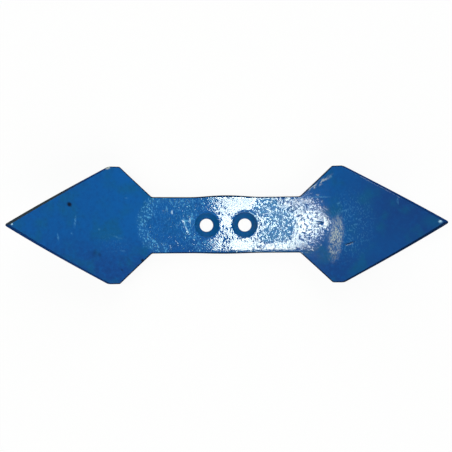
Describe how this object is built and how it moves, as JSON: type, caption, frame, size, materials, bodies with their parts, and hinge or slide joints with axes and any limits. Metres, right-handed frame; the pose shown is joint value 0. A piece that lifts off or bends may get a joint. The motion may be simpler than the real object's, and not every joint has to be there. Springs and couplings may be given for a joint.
{
  "type": "double heart share",
  "caption": "Evenly bent steel cultivator share with a heart-shaped blade at each end of a narrow neck and two countersunk bolt holes over a flat seat.",
  "frame": {"origin": "middle of the flat seat on the back, half way between the two bolt holes", "axes": "+X along the share to one point, +Y across the share, +Z from the back face to the hollow front face that takes the bolt heads"},
  "size_m": [0.4406, 0.1222, 0.0865],
  "materials": {
    "blue_paint": "gloss blue paint over forged steel"
  },
  "bodies": {
    "root": {"double_heart_share": "blue_paint"}
  },
  "joints": []
}
